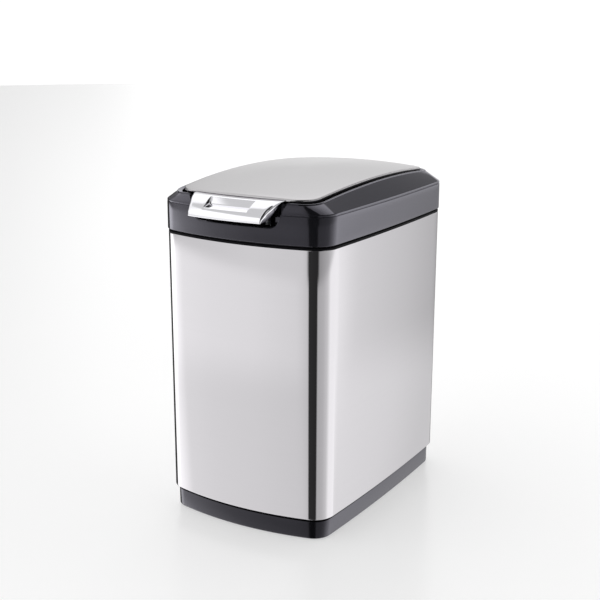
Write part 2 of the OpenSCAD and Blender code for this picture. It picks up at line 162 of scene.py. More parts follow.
class Build:
    """Collects several closed forms, in mm, into one mesh."""

    def __init__(self):
        self.v, self.f, self.m, self.n = [], [], [], 0

    def add(self, verts, faces, mat=0):
        verts = np.asarray(verts, float)
        self.v.append(verts)
        self.f += [[self.n + i for i in f] for f in faces]
        self.m += [mat] * len(faces)
        self.n += len(verts)
        return self

    def rings(self, rings, wrap=True, first=None, last=None, mat=0, flip=False):
        """Faces between rings. wrap joins the last to the first; first and last cap with a fan."""
        n, m = len(rings[0]), len(rings)
        verts = np.vstack(rings)
        faces = []
        for k in range(m if wrap else m - 1):
            q = (k + 1) % m
            for i in range(n):
                j = (i + 1) % n
                faces.append([k * n + i, k * n + j, q * n + j, q * n + i])
        extra = len(verts)
        if first is not None:
            verts = np.vstack([verts, first])
            faces += [[extra, (i + 1) % n, i] for i in range(n)]
            extra += 1
        if last is not None:
            verts = np.vstack([verts, last])
            faces += [[extra, (m - 1) * n + i, (m - 1) * n + (i + 1) % n] for i in range(n)]
        if flip:
            faces = [f[::-1] for f in faces]
        return self.add(verts, faces, mat)

    def box(self, x0, x1, y0, y1, z0, z1, r=0.4, n=3, mat=0, shift=True):
        """Box with rounded edges."""
        bm = bmesh.new()
        bmesh.ops.create_cube(bm, size=1)
        s = SH if shift else 0
        for v in bm.verts:
            v.co = Vector(((x0 if v.co.x < 0 else x1), (y0 if v.co.y < 0 else y1) + s, (z0 if v.co.z < 0 else z1)))
        if r:
            bmesh.ops.bevel(bm, geom=bm.edges[:], offset=r, segments=n, profile=0.5, affect="EDGES")
        return self.take(bm, mat)

    def take(self, bm, mat=0):
        bm.verts.index_update()
        v = [tuple(p.co) for p in bm.verts]
        f = [[p.index for p in g.verts] for g in bm.faces]
        bm.free()
        return self.add(v, f, mat)

    def lathe(self, prof, n=32, mat=0, place=None, squash=None):
        """prof: (radius, height) from one end to the other, radius 0 at both ends. place maps local z up."""
        a = np.arange(n) * 2 * math.pi / n
        rings, caps = [], []
        for r, h in prof:
            if r > 1e-6:
                rings.append(np.stack([r * np.cos(a), r * np.sin(a), np.full(n, h)], 1))
            else:
                caps.append(np.array([0, 0, h]))
        if place is not None:
            rings = [place(x) for x in rings]
            caps = [place(c[None])[0] for c in caps]
        if len(caps) == 2:
            return self.rings(rings, wrap=False, first=caps[0], last=caps[1], mat=mat)
        return self.rings(rings, wrap=True, mat=mat)

    def prism(self, pts, x0, x1, r=0.0, n=2, mat=0, shift=True):
        """Profile in YZ extruded across X, its edges rounded by r."""
        bm = bmesh.new()
        s = SH if shift else 0
        a = [bm.verts.new((x0, y + s, z)) for y, z in pts]
        b = [bm.verts.new((x1, y + s, z)) for y, z in pts]
        bm.faces.new(a[::-1])
        bm.faces.new(b)
        for i in range(len(pts)):
            j = (i + 1) % len(pts)
            bm.faces.new((a[i], a[j], b[j], b[i]))
        bmesh.ops.recalc_face_normals(bm, faces=bm.faces[:])
        if r:
            bmesh.ops.bevel(bm, geom=bm.edges[:], offset=r, segments=n, profile=0.5, affect="EDGES")
        return self.take(bm, mat)

    def mesh(self, name, sharp=32, weld=None):
        me = bpy.data.meshes.new(name)
        me.from_pydata((np.vstack(self.v) * MM).tolist(), [], self.f)
        me.polygons.foreach_set("material_index", self.m)
        me.validate()
        bm = bmesh.new()
        bm.from_mesh(me)
        if weld:
            bmesh.ops.remove_doubles(bm, verts=bm.verts[:], dist=weld * MM)
        bmesh.ops.recalc_face_normals(bm, faces=bm.faces[:])
        bm.to_mesh(me)
        bm.free()
        smooth(me, sharp)
        return me

    def make(self, name, sharp=32, weld=None):
        ob = bpy.data.objects.new(name, self.mesh(name, sharp, weld))
        COL.objects.link(ob)
        return ob


def smooth(me, sharp):
    me.polygons.foreach_set("use_smooth", [True] * len(me.polygons))
    me.set_sharp_from_angle(angle=math.radians(sharp))
    me.update()


def boolean(ob, cutter, op="DIFFERENCE", drop=True):
    m = ob.modifiers.new("b", "BOOLEAN")
    m.operation = op
    m.solver = "EXACT"
    m.object = cutter
    bpy.context.view_layer.update()
    me = bpy.data.meshes.new_from_object(ob.evaluated_get(bpy.context.evaluated_depsgraph_get()))
    ob.modifiers.remove(m)
    old = ob.data
    ob.data = me
    bpy.data.meshes.remove(old)
    if drop:
        cm = cutter.data
        bpy.data.objects.remove(cutter)
        bpy.data.meshes.remove(cm)
    return ob


def corner_table(me, flip=False):
    """Triangles of a mesh with their smooth corner normals, for shading a cut mesh as its sources were."""
    me.calc_loop_triangles()
    vs = np.zeros(len(me.vertices) * 3)
    me.vertices.foreach_get("co", vs)
    vs = vs.reshape(-1, 3)
    cn = np.zeros(len(me.loops) * 3)
    me.corner_normals.foreach_get("vector", cn)
    cn = cn.reshape(-1, 3)
    tv = np.zeros(len(me.loop_triangles) * 3, int)
    me.loop_triangles.foreach_get("vertices", tv)
    tl = np.zeros(len(me.loop_triangles) * 3, int)
    me.loop_triangles.foreach_get("loops", tl)
    tri, nor = vs[tv].reshape(-1, 3, 3), cn[tl].reshape(-1, 3, 3)
    return tri, (-nor if flip else nor)


def shade_like(ob, tables):
    """Gives every corner of a cut mesh the smooth normal of the surface it was cut from."""
    tri = np.vstack([t for t, _ in tables])
    nor = np.vstack([n for _, n in tables])
    bvh = BVHTree.FromPolygons([tuple(v) for v in tri.reshape(-1, 3)], [(3 * i, 3 * i + 1, 3 * i + 2) for i in range(len(tri))])
    face_n = unit(nor.sum(1))
    me = ob.data
    out = [None] * len(me.loops)
    for p in me.polygons:
        pn, pc = p.normal, p.center
        for li in p.loop_indices:
            co = me.vertices[me.loops[li].vertex_index].co
            q = co + (pc - co) * min(0.02, 0.00003 / max((pc - co).length, 1e-9))
            best, bn = None, None
            for loc, _, idx, dist in bvh.find_nearest_range(q, 0.00006):
                a = face_n[idx] @ np.array(pn)
                score = a - dist * 4000
                if a > 0.6 and (best is None or score > best):
                    best, hit, where = score, idx, loc
            if best is None:
                out[li] = tuple(pn)
                continue
            a, b, c = tri[hit]
            v0, v1, v2 = b - a, c - a, np.array(where) - a
            d00, d01, d11, d20, d21 = v0 @ v0, v0 @ v1, v1 @ v1, v2 @ v0, v2 @ v1
            den = d00 * d11 - d01 * d01
            if abs(den) < 1e-24:
                out[li] = tuple(face_n[hit])
                continue
            v = (d11 * d20 - d01 * d21) / den
            w = (d00 * d21 - d01 * d20) / den
            n3 = nor[hit][0] * (1 - v - w) + nor[hit][1] * v + nor[hit][2] * w
            out[li] = tuple(n3 / max(np.linalg.norm(n3), 1e-9))
    me.polygons.foreach_set("use_smooth", [True] * len(me.polygons))
    me.normals_split_custom_set(out)


# ------------------------------------------------------------------ materials
def material(name):
    m = bpy.data.materials.new(name)
    m.use_nodes = True
    nt = m.node_tree
    nt.nodes.clear()
    out = nt.nodes.new("ShaderNodeOutputMaterial")
    sh = nt.nodes.new("ShaderNodeBsdfPrincipled")
    nt.links.new(sh.outputs[0], out.inputs[0])
    return m, nt, sh


def coords(nt, scale, rot=(0, 0, 0)):
    tc = nt.nodes.new("ShaderNodeTexCoord")
    mp = nt.nodes.new("ShaderNodeMapping")
    mp.inputs["Scale"].default_value = scale
    mp.inputs["Rotation"].default_value = rot
    nt.links.new(tc.outputs["Object"], mp.inputs["Vector"])
    return mp.outputs[0]


def noise(nt, vec, scale, detail=2.0, rough=0.5):
    n = nt.nodes.new("ShaderNodeTexNoise")
    n.inputs["Scale"].default_value = scale
    n.inputs["Detail"].default_value = detail
    n.inputs["Roughness"].default_value = rough
    nt.links.new(vec, n.inputs["Vector"])
    return n.outputs["Fac"]


def remap(nt, fac, lo, hi, a=0.3, b=0.7):
    n = nt.nodes.new("ShaderNodeMapRange")
    n.inputs["From Min"].default_value = a
    n.inputs["From Max"].default_value = b
    n.inputs["To Min"].default_value = lo
    n.inputs["To Max"].default_value = hi
    nt.links.new(fac, n.inputs["Value"])
    return n.outputs[0]


def tint(nt, fac, c0, c1, p0=0.35, p1=0.65):
    r = nt.nodes.new("ShaderNodeValToRGB")
    r.color_ramp.elements[0].position, r.color_ramp.elements[1].position = p0, p1
    r.color_ramp.elements[0].color = (*c0, 1)
    r.color_ramp.elements[1].color = (*c1, 1)
    nt.links.new(fac, r.inputs[0])
    return r.outputs[0]


def bump(nt, sh, heights, strength=1.0, dist=0.0001):
    prev = None
    for h, d in heights:
        b = nt.nodes.new("ShaderNodeBump")
        b.inputs["Strength"].default_value = strength
        b.inputs["Distance"].default_value = d
        nt.links.new(h, b.inputs["Height"])
        if prev is not None:
            nt.links.new(prev, b.inputs["Normal"])
        prev = b.outputs[0]
    nt.links.new(prev, sh.inputs["Normal"])


def brushed(name, base, rough, fine, aniso=0.35, wob=0.05, lines=0.0000012):
    """Brushed sheet: hairlines that run where fine is small, and are close where it is large."""
    m, nt, sh = material(name)
    hair = noise(nt, coords(nt, fine), 1.0, 4.0, 0.65)
    wide = noise(nt, coords(nt, tuple(x * 0.23 for x in fine)), 1.0, 3.0, 0.5)
    cloud = noise(nt, coords(nt, (9, 9, 7)), 1.0, 3.0, 0.5)
    c = tint(nt, hair, tuple(b * (1 - wob * 0.35) for b in base), tuple(min(b * (1 + wob * 0.35), 1) for b in base))
    nt.links.new(c, sh.inputs["Base Color"])
    add = nt.nodes.new("ShaderNodeMath")
    add.operation = "ADD"
    nt.links.new(remap(nt, wide, -0.012, 0.012), add.inputs[0])
    nt.links.new(remap(nt, cloud, rough - 0.012, rough + 0.012), add.inputs[1])
    nt.links.new(add.outputs[0], sh.inputs["Roughness"])
    sh.inputs["Metallic"].default_value = 1.0
    sh.inputs["Anisotropic"].default_value = aniso
    bump(nt, sh, [(hair, lines), (wide, lines * 1.4)])
    return m


def moulded(name, base, rough, grain=0.00002, scale=1400, spec=0.5, vary=0.12, sheen=0.0):
    """Moulded plastic: fine spark-eroded grain, slight unevenness in gloss, and sheen at glancing angles."""
    m, nt, sh = material(name)
    g = noise(nt, coords(nt, (1, 1, 1)), scale, 3.0, 0.6)
    flow = noise(nt, coords(nt, (14, 14, 22)), 1.0, 4.0, 0.55)
    c = tint(nt, flow, tuple(b * (1 - vary) for b in base), tuple(b * (1 + vary) for b in base), 0.3, 0.7)
    nt.links.new(c, sh.inputs["Base Color"])
    mix = nt.nodes.new("ShaderNodeMath")
    mix.operation = "ADD"
    nt.links.new(remap(nt, g, -0.03, 0.03), mix.inputs[0])
    nt.links.new(remap(nt, flow, rough - 0.02, rough + 0.03), mix.inputs[1])
    nt.links.new(mix.outputs[0], sh.inputs["Roughness"])
    sh.inputs["Specular IOR Level"].default_value = spec
    sh.inputs["Specular Tint"].default_value = (0.87, 0.84, 1.0, 1)
    bump(nt, sh, [(g, grain)])
    if sheen:
        gl = nt.nodes.new("ShaderNodeBsdfGlossy")
        gl.inputs["Color"].default_value = (0.89, 0.87, 1.0, 1)
        nt.links.new(mix.outputs[0], gl.inputs["Roughness"])
        nt.links.new(sh.inputs["Normal"].links[0].from_socket, gl.inputs["Normal"])
        lw = nt.nodes.new("ShaderNodeLayerWeight")
        r = nt.nodes.new("ShaderNodeValToRGB")
        e = r.color_ramp.elements
        e[0].position, e[0].color = 0.15, (0, 0, 0, 1)
        e[1].position, e[1].color = 1.0, (0.4 * sheen, 0.4 * sheen, 0.4 * sheen, 1)
        for p, v in ((0.25, 0.02), (0.35, 0.07), (0.5, 0.138), (0.8, 0.16)):
            e.new(p).color = (v * sheen, v * sheen, v * sheen, 1)
        nt.links.new(lw.outputs["Facing"], r.inputs[0])
        ms = nt.nodes.new("ShaderNodeMixShader")
        nt.links.new(r.outputs[0], ms.inputs[0])
        nt.links.new(sh.outputs[0], ms.inputs[1])
        nt.links.new(gl.outputs[0], ms.inputs[2])
        out = next(n for n in nt.nodes if n.type == "OUTPUT_MATERIAL")
        nt.links.new(ms.outputs[0], out.inputs[0])
    return m


MAT = {}
MAT["steel"] = brushed("steel_wrap", (0.6395, 0.6241, 0.6464), 0.065, (8, 8, 9000), aniso=0.0, lines=0.0000006)
MAT["steel_lid"] = brushed("steel_lid", (0.50, 0.489, 0.499), 0.24, (9000, 8, 900), aniso=0.3)
MAT["black"] = moulded("black_plastic", (0.0085, 0.0085, 0.0105), 0.10, 0.0000025, 1800, 0.5, sheen=1.0)
MAT["base"] = moulded("base_plastic", (0.005, 0.005, 0.0062), 0.16, 0.000004, 1500, 0.45, sheen=0.62)
MAT["dark"] = moulded("dark_plastic", (0.008, 0.008, 0.009), 0.42, 0.00003, 1100, 0.3)
# near-black matte plastic of the lip ring and latch lever, also used as painted shade in the base's shadow gap and
# inside the collar's pocket
MAT["matte_black_and_shade"] = moulded("matte_black_and_shade_plastic", (0.004, 0.004, 0.0045), 0.5, 0.00002, 1100, 0.08)
MAT["frame"] = moulded("frame_plastic", (0.02, 0.02, 0.022), 0.45, 0.00004, 900, 0.45)
MAT["bucket"] = moulded("bucket_plastic", (0.20, 0.205, 0.215), 0.42, 0.00004, 900, 0.5, 0.06)
MAT["rubber"] = moulded("rubber", (0.03, 0.03, 0.031), 0.7, 0.00006, 700, 0.3)
MAT["zinc"] = brushed("zinc_steel", (0.55, 0.56, 0.58), 0.28, (420, 420, 420), aniso=0.0, wob=0.3, lines=0.000008)
MAT["chrome"] = brushed("chrome_bar", (0.872, 0.868, 0.90), 0.07, (60, 900, 900), aniso=0.0, wob=0.03, lines=0.0000008)
# painted shade: a dark copy of the chrome for the push bar's notch walls and back faces
MAT["recess"] = brushed("chrome_painted_shade", (0.10, 0.10, 0.108), 0.14, (60, 900, 900), aniso=0.0, wob=0.05, lines=0.0000008)


def dress(ob, *mats):
    ob.data.materials.clear()
    for m in mats:
        ob.data.materials.append(MAT[m])
    return ob


def piece(build, name, on, mats, replaces=(), sharp=32, weld=None):
    ob = build if isinstance(build, bpy.types.Object) else build.make(name, sharp, weld)
    ob.name = name
    index = [q.material_index for q in ob.data.polygons]
    dress(ob, *([mats] if isinstance(mats, str) else mats))
    ob.data.polygons.foreach_set("material_index", index)
    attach(ob, on)
    for r in [replaces] if isinstance(replaces, str) else replaces:
        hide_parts(r)
    return ob


# ------------------------------------------------------------------ steel wrap
Z0, Z1 = 18.6, 240.8
TAPER = 0.8


def seam_body(i):
    """The body's outline with extra points at the seam, at the same places for every inset."""
    p = body(i)
    back = np.where((p[:, 1] > 100) & (np.abs(p[:, 0]) < 40))[0]
    a, b = back[0], back[-1]
    xs = np.array([40, 30, 20, 12, 8, 6, 5.35, 5.2, 5, 4.8, 3, 1, 0, -1, -3, -4.8, -5, -5.2, -5.35, -6, -8, -12, -20, -30, -40.0])
    yb = SH + 115.25 - 1280 + np.sqrt((1280 - i) ** 2 - xs ** 2)
    lap = 0.28 * np.clip((5.35 - xs) / 0.35, 0, 1) * np.clip((xs + 20) / 14.0, 0, 1) * (1 if i < 0.9 else 0)
    mid = np.stack([xs, yb + lap], 1)
    return np.vstack([p[:a], mid, p[b + 1:]])


w = seam_body
shell = Build().rings(profile([
    (at(w(TAPER), Z0), 0.85, 6), (at(w(0), Z1), 0.3, 4), (at(w(0.7), Z1), 0.15, 2),
    (at(w(TAPER + 0.7), Z0 + 0.7), 0.3, 3), (at(w(8), Z0 + 0.7), 0, 0), (at(w(8), Z0), 0, 0)]))
piece(shell, "steel_body_wrap", "base_body", "steel", "outer_shell", sharp=30)

# ------------------------------------------------------------------ lip ring
rim = Build().rings(profile([
    (at(body(0.9), 228), 0.3, 2), (at(body(0.9), 240.8), 0, 0), (at(body(0.08), 240.8), 0.25, 3),
    (at(body(0.08), 242.7), 0.6, 5), (at(body(3.5), 242.7), 0.5, 4), (at(body(3.5), 240.9), 0.3, 2),
    (at(body(2.9), 240.2), 0.3, 2), (at(body(2.9), 235), 0.5, 3), (at(body(6.5), 235), 0.4, 3),
    (at(body(6.5), 233), 0.4, 3), (at(body(2.9), 233), 0.5, 3), (at(body(2.9), 228), 0.3, 2)]))
piece(rim, "lip_ring", "base_body", "matte_black_and_shade", "body_rim")

# ------------------------------------------------------------------ base
BI = 3.9
base = Build()
mid = np.array([0, SH, 18.6])
outer = profile([
    (at(toward(body(BI + 2.2), 0.6, np.array([0, SH])), 18.6), 0, 0), (at(body(BI + 1.5), 18.6), 0, 0),
    (at(body(BI + 1.5), 15.8), 0.15, 2), (at(body(BI), 15.7), 0.3, 3), (at(body(BI + 0.15), 0.8), 0.9, 6), (at(body(BI + 2.2), 0.8), 0.5, 4), (at(body(BI + 2.2), 16.4), 1.2, 5),
    (at(toward(body(BI + 2.2), 0.6, np.array([0, SH])), 16.4), 0, 0)], closed=False)
base.rings(outer, wrap=False, first=np.array([0, SH, 18.6]), last=np.array([0, SH, 16.4]), flip=True)
for sx in (-1, 1):
    base.box(*sorted((sx * 18.2, sx * 19.8)), -104, 106, 6, 16.8, 0.35)
    for fy in (-84, 92):
        pl = lambda q, sx=sx, fy=fy: q + [sx * 54, fy + SH, 0]
        base.lathe([(0, 16.8), (9.4, 16.8), (9.4, 4.0), (8.9, 3.3), (8.2, 3.2), (0, 3.2)], 40, place=pl)
    for px, py in ((34, -101), (69, 0), (34, 103)):
        pl = lambda q, sx=sx, px=px, py=py: q + [sx * px, py + SH, 0]
        base.lathe([(4.3, 16.8), (5.5, 16.8), (5.5, 12.4), (5.2, 12.0), (4.6, 12.0), (4.3, 12.3)], 36, place=pl)
base.box(-70, 70, -1.8, -0.2, 6, 16.8, 0.35)
for ry in (-50, 50):
    base.box(-70, 70, ry - 0.8, ry + 0.8, 9, 16.8, 0.35)
piece(base, "base_plinth", "base_body", "base", "base_tray")
# painted shade: a near-black band in the groove under the steel's bottom edge darkens the shadow gap
shadow_gap_band = Build().rings(profile([(at(body(BI + 1.1), 15.9), 0.2, 2), (at(body(BI + 1.1), 18.55), 0.2, 2),
                                (at(body(BI + 1.6), 18.55), 0, 0), (at(body(BI + 1.6), 15.9), 0, 0)]))
piece(shadow_gap_band, "base_shadow_gap_band", "base_body", "matte_black_and_shade")

# ------------------------------------------------------------------ feet and screws
feet = Build()
for sx in (-1, 1):
    for fy in (-84, 92):
        pl = lambda q, sx=sx, fy=fy: q + [sx * 54, fy + SH, 0]
        feet.lathe([(0, 3.2), (7.6, 3.2), (8.0, 2.9), (8.0, 0.95), (7.75, 0.65), (7.3, 0.55), (7.1, 0.15), (6.7, 0.0),
                    (5.6, 0.0), (5.3, 0.15), (5.0, 0.5), (4.5, 0.7), (2.0, 0.75), (0, 0.75)], 48, place=pl)
piece(feet, "foot_pads", "base_body", "rubber", "rubber_feet")


def screw_mesh(head_r, head_h, shank_r, shank_l, thread=True):
    """Pan head with a cross recess, head up, shank down, seat at z = 0."""
    b = Build()
    hp = [(0, head_h)]
    for k in range(1, 7):
        a = k / 6 * math.pi / 2 * 0.92
        hp.append((head_r * (0.42 + 0.58 * math.sin(a)) if k > 0 else 0, head_h * (0.35 + 0.65 * math.cos(a) ** 0.8)))
    hp += [(head_r, head_h * 0.30), (head_r, 0.12), (head_r - 0.12, 0), (shank_r, 0)]
    z = 0.0
    if thread:
        pitch = max(0.5, shank_r * 0.55)
        z = -0.6
        hp.append((shank_r, z))
        while z > -shank_l + 1.4:
            hp += [(shank_r * 0.84, z - pitch * 0.35), (shank_r, z - pitch * 0.62), (shank_r, z - pitch * 0.72)]
            z -= pitch
    hp += [(shank_r * 0.84, -shank_l + 0.6), (shank_r * 0.45, -shank_l), (0, -shank_l)]
    b.lathe(hp, 32)
    ob = b.make("screw", 28)
    for ang in (0, math.pi / 2):
        c = Build()
        wd, ln, dp = head_r * 0.13, head_r * 0.56, head_h * 0.62
        top, bot = head_h + 0.5, head_h - dp
        v = []
        for zz, s in ((bot, 0.45), (top, 1.08)):
            for x, y in ((-ln, -wd), (ln, -wd), (ln, wd), (-ln, wd)):
                x, y = x * s, y * (0.7 if s < 1 else 1.1)
                v.append((x * math.cos(ang) - y * math.sin(ang), x * math.sin(ang) + y * math.cos(ang), zz))
        c.add(v, [[3, 2, 1, 0], [4, 5, 6, 7], [0, 1, 5, 4], [1, 2, 6, 5], [2, 3, 7, 6], [3, 0, 4, 7]])
        boolean(ob, c.make("cut"))
    smooth(ob.data, 28)
    vs = np.array([tuple(v.co) for v in ob.data.vertices]) / MM
    fs = [list(p.vertices) for p in ob.data.polygons]
    me = ob.data
    bpy.data.objects.remove(ob)
    bpy.data.meshes.remove(me)
    return vs, fs


def screws(name, on, node, spec, places, spin=0.4):
    """places: (x, y, z of the seat, direction the head looks: 'down', 'front')."""
    vs, fs = screw_mesh(*spec)
    b = Build()
    for k, (x, y, z, way) in enumerate(places):
        a = spin + 0.9 * k
        v = vs.copy()
        v[:, :2] = v[:, :2] @ np.array([[math.cos(a), math.sin(a)], [-math.sin(a), math.cos(a)]])
        if way == "down":
            v = v * [1, -1, -1]
        elif way == "front":
            v = np.stack([v[:, 0], -v[:, 2], v[:, 1]], 1)
        elif way == "back":
            v = np.stack([-v[:, 0], v[:, 2], v[:, 1]], 1)
        b.add(v + [x, y + SH, z], fs)
    return piece(b, name, on, "zinc", node, sharp=28)


screws("base_screw_set", "base_body", "base_screws", (3.6, 2.2, 2.0, 9.4),
       [(sx * x, y, 16.4, "down") for x, y in ((34, -101), (69, 0), (34, 103)) for sx in (1, -1)])

# ------------------------------------------------------------------ inner bucket
FL = 237.0
bt, bw = 8.2, 2.2
cen = np.array([0, SH])


def bring(drop, z):
    return at(body(bt + 5.8 * (235 - z) / 205 + drop), z)


bk = Build()
bk.rings(profile([
    (at(toward(body(bt + 5.8 + bw), 0.5, cen), 30 + bw), 0, 0),
    (at(body(bt + 5.8 + bw), 30 + bw), 6, 8),
    (bring(bw, 206), 0.8, 3), (bring(bw - 0.9, 204.5 + 3), 0.8, 3),
    (at(body(bt + bw), 237), 0.9, 5), (at(body(3.4), 237), 0.8, 5), (at(body(3.4), 235), 0.5, 4),
    (at(body(bt - 0.6), 235), 0.8, 4), (bring(-0.9, 207.5), 0.8, 3), (bring(0, 206), 0.8, 3),
    (at(body(bt + 5.8), 30), 8, 10), (at(toward(body(bt + 5.8), 0.5, cen), 30), 0, 0)], closed=False),
    wrap=False, first=np.array([0, SH, 32.2]), last=np.array([0, SH, 30.0]))
for sx in (-1, 1):
    bk.box(*sorted((sx * 61.5, sx * 70.8)), -26, 26, 234.4, 237, 0.9, 4)
    for yy in (-18, 0, 18):
        bk.box(*sorted((sx * 63.5, sx * 70.2)), yy - 0.8, yy + 0.8, 226, 235, 0.3)
piece(bk, "bucket_liner", "bucket_body", "bucket", "inner_bucket")

# ------------------------------------------------------------------ collar
CZ0, CZ1, PR = 244.0, 268.6, 0.6


def collar_corners(groove=True):
    c = [(at(body(-PR), CZ0), 0.45, 4)]
    if groove:
        c += [(at(body(-PR), CZ1 - 2.3), 0.18, 3), (at(body(0.2), CZ1 - 2.1), 0.1, 2),
              (at(body(0.2), CZ1 - 1.65), 0.1, 2), (at(body(-PR + 0.08), CZ1 - 1.4), 0.2, 3)]
    c += [(at(body(-PR + 0.15), CZ1 - 0.2), 1.3, 8)]
    return c


corner_rings = collar_corners()
# the slope ends in a fine groove at the foot of the rim, which is flat on top with a rolled outer edge
tail = [(on_lid(rimp(-0.62), 2.72), 0.12, 3), (on_lid(rimp(-0.1), 3.2), 0.1, 2), (on_lid(rimp(0), 1.72), 0.32, 6),
        (on_lid(rimp(0.55), 1.74), 0.2, 4), (on_lid(lidp(-2.2), 2.9), 0.2, 3), (on_lid(lidp(-2.2), 5.5), 0.3, 2), (at(body(3.2), CZ1 - 2.5), 0.5, 3),
        (at(body(1.6), CZ1 - 3.8), 0.5, 3), (at(body(1.6), CZ0), 0.3, 3)]
collar_mesh = Build().rings(profile(corner_rings + tail)).make("collar_shell", 30)
plain = Build().rings(profile(collar_corners(False) + tail)).make("plain", 30)
plain_tree = BVHTree.FromObject(plain, bpy.context.evaluated_depsgraph_get())

# pocket outline in XZ, one smooth line from upper right to upper left
PA = math.atan(0.4)


def pocket_line(e, top=283.0, n=16):
    c = np.array([31.17, 264.5])
    r = 8 + e
    a = np.linspace(-PA, -math.pi / 2, n)
    arc = c + r * np.stack([np.cos(a), np.sin(a)], 1)
    d = np.array([math.sin(PA), math.cos(PA)])
    up = [arc[0] + d * (top - arc[0][1]) / d[1] * t for t in np.linspace(1, 0.04, 12)]
    half = np.vstack([up, arc])
    low = [np.array([x, arc[-1][1]]) for x in np.linspace(arc[-1][0], -arc[-1][0], 20)[1:-1]]
    return np.vstack([half, low, half[::-1] * [-1, 1]])


def extruded(name, pts, y0, y1, sharp=30, steps=1):
    """Outline in XZ swept from y0 to y1 (mm from the body's middle)."""
    b = Build()
    n = len(pts)
    rings = [np.stack([pts[:, 0], np.full(n, y + SH), pts[:, 1]], 1) for y in np.linspace(y0, y1, steps + 1)]
    verts = np.vstack(rings)
    faces = [[k * n + i, k * n + (i + 1) % n, (k + 1) * n + (i + 1) % n, (k + 1) * n + i] for k in range(steps) for i in range(n)]
    faces += [list(range(n))[::-1], [steps * n + i for i in range(n)]]
    b.add(verts, faces)
    return b.make(name, sharp)


line = pocket_line(0)
cutter = extruded("cutter", line, -140, -102)
# pocket liner: walls and back, 2 mm
liner = extruded("liner", pocket_line(2.0, 282.0), -118, -100)
a = np.linspace(-math.pi / 2 - 0.3, -math.pi / 2 + 0.3, 60)
R = 259.6 - 0.3
front_cyl = np.stack([R * np.cos(a), 144.35 + R * np.sin(a)], 1)
cylpts = np.vstack([front_cyl, [[70, -60], [-70, -60]]])
b = Build()
n = len(cylpts)
b.add(np.vstack([at(cylpts + [0, SH], 240), at(cylpts + [0, SH], 290)]),
      [list(range(n))[::-1], [n + i for i in range(n)]] + [[i, (i + 1) % n, n + (i + 1) % n, n + i] for i in range(n)])
boolean(liner, b.make("cyl"), "INTERSECT")
b = Build()
b.prism([(-118, 250), (-118, 262), (-109.6, 262), (-109.4, 268), (-107, 274), (-99, 274), (-99, 250)], -60, 60)
boolean(liner, b.make("pr"), "INTERSECT")
tables = [corner_table(collar_mesh.data), corner_table(liner.data), corner_table(cutter.data, True)]
boolean(collar_mesh, liner, "UNION")
boolean(collar_mesh, cutter)


# rounded lip of the pocket: a ring-shaped tool that leaves a radius
def lip_tool(e0, radius, depth_off=0.0):
    pts = pocket_line(e0, 281.0)
    n = len(pts)
    P, N = [], []
    for x, z in pts:
        hit = plain_tree.ray_cast(Vector((x * MM, -0.2, z * MM)), Vector((0, 1, 0)))
        if hit[0] is None:
            P.append(None)
            N.append(None)
        else:
            P.append(np.array(hit[0]) / MM)
            N.append(np.array(hit[1]))
    ok = [i for i in range(n) if P[i] is not None and P[i][1] < -90]
    lo, hi = ok[0], ok[-1]
    P = P[lo:hi + 1]
    N = N[lo:hi + 1]
    P = np.array(P)
    N = np.array(N)
    # carry on past the rim at both ends
    for end in (0, -1):
        nb = 1 if end == 0 else -2
        d = unit(P[end] - P[nb])
        ext = P[end] + d * 4
        if end == 0:
            P, N = np.vstack([ext, P]), np.vstack([N[0], N])
        else:
            P, N = np.vstack([P, ext]), np.vstack([N, N[-1]])
    for _ in range(2):
        N[1:-1] = unit(N[:-2] + 2 * N[1:-1] + N[2:])
    T = np.zeros_like(P)
    T[1:-1] = P[2:] - P[:-2]
    T[0], T[-1] = P[1] - P[0], P[-1] - P[-2]
    T = unit(T)
    Nn = unit(N - (N * T).sum(1)[:, None] * T)
    inward = np.tile([0, 1.0, 0], (len(P), 1))
    bvec = unit(inward - (inward * T).sum(1)[:, None] * T)
    avec = np.cross(T, Nn)
    # a points away from the pocket's middle
    m = np.array([0, 0, 268.0])
    sgn = np.sign(((P - m) * [1, 0, 1] * avec).sum(1))
    avec *= np.sign(np.median(sgn)) if abs(np.median(sgn)) > 0 else 1
    # keep a square to n within the surface, b into the part
    cosang = np.clip((avec * bvec).sum(1), -0.9, 0.9)
    half = np.arccos(cosang) / 2
    L = radius / np.tan(half)
    cenr = P + unit(avec + bvec) * (radius / np.sin(half))[:, None]
    s, e_ = P + avec * L[:, None] - cenr, P + bvec * L[:, None] - cenr
    om = np.pi - 2 * half
    ring = []
    k = 7
    for q in range(k + 1):
        t = q / k
        so = np.sin(om)
        ring.append(cenr + s * (np.sin((1 - t) * om) / so)[:, None] + e_ * (np.sin(t * om) / so)[:, None])
    ring.append(ring[-1] - avec * 1.0)
    ring.append(P - (avec + bvec) * 1.0)
    ring.append(ring[0] - bvec * 1.0)
    ring = np.stack(ring, 1)
    m_, k_ = ring.shape[:2]
    verts = ring.reshape(-1, 3)
    faces = [[i * k_ + j, i * k_ + (j + 1) % k_, (i + 1) * k_ + (j + 1) % k_, (i + 1) * k_ + j] for i in range(m_ - 1) for j in range(k_)]
    faces += [list(range(k_))[::-1], [(m_ - 1) * k_ + j for j in range(k_)]]
    b = Build()
    b.add(verts, faces)
    return b.make("lip", 40)


tool = lip_tool(0.0, 1.15)
tables.append(corner_table(tool.data, True))
boolean(collar_mesh, tool)
for sx in (-1, 1):
    b = Build().box(*sorted((sx * 22, sx * 30)), -104, -98, 258.4, 269.2, 0)
    boolean(collar_mesh, b.make("slot"))
shade_like(collar_mesh, tables)
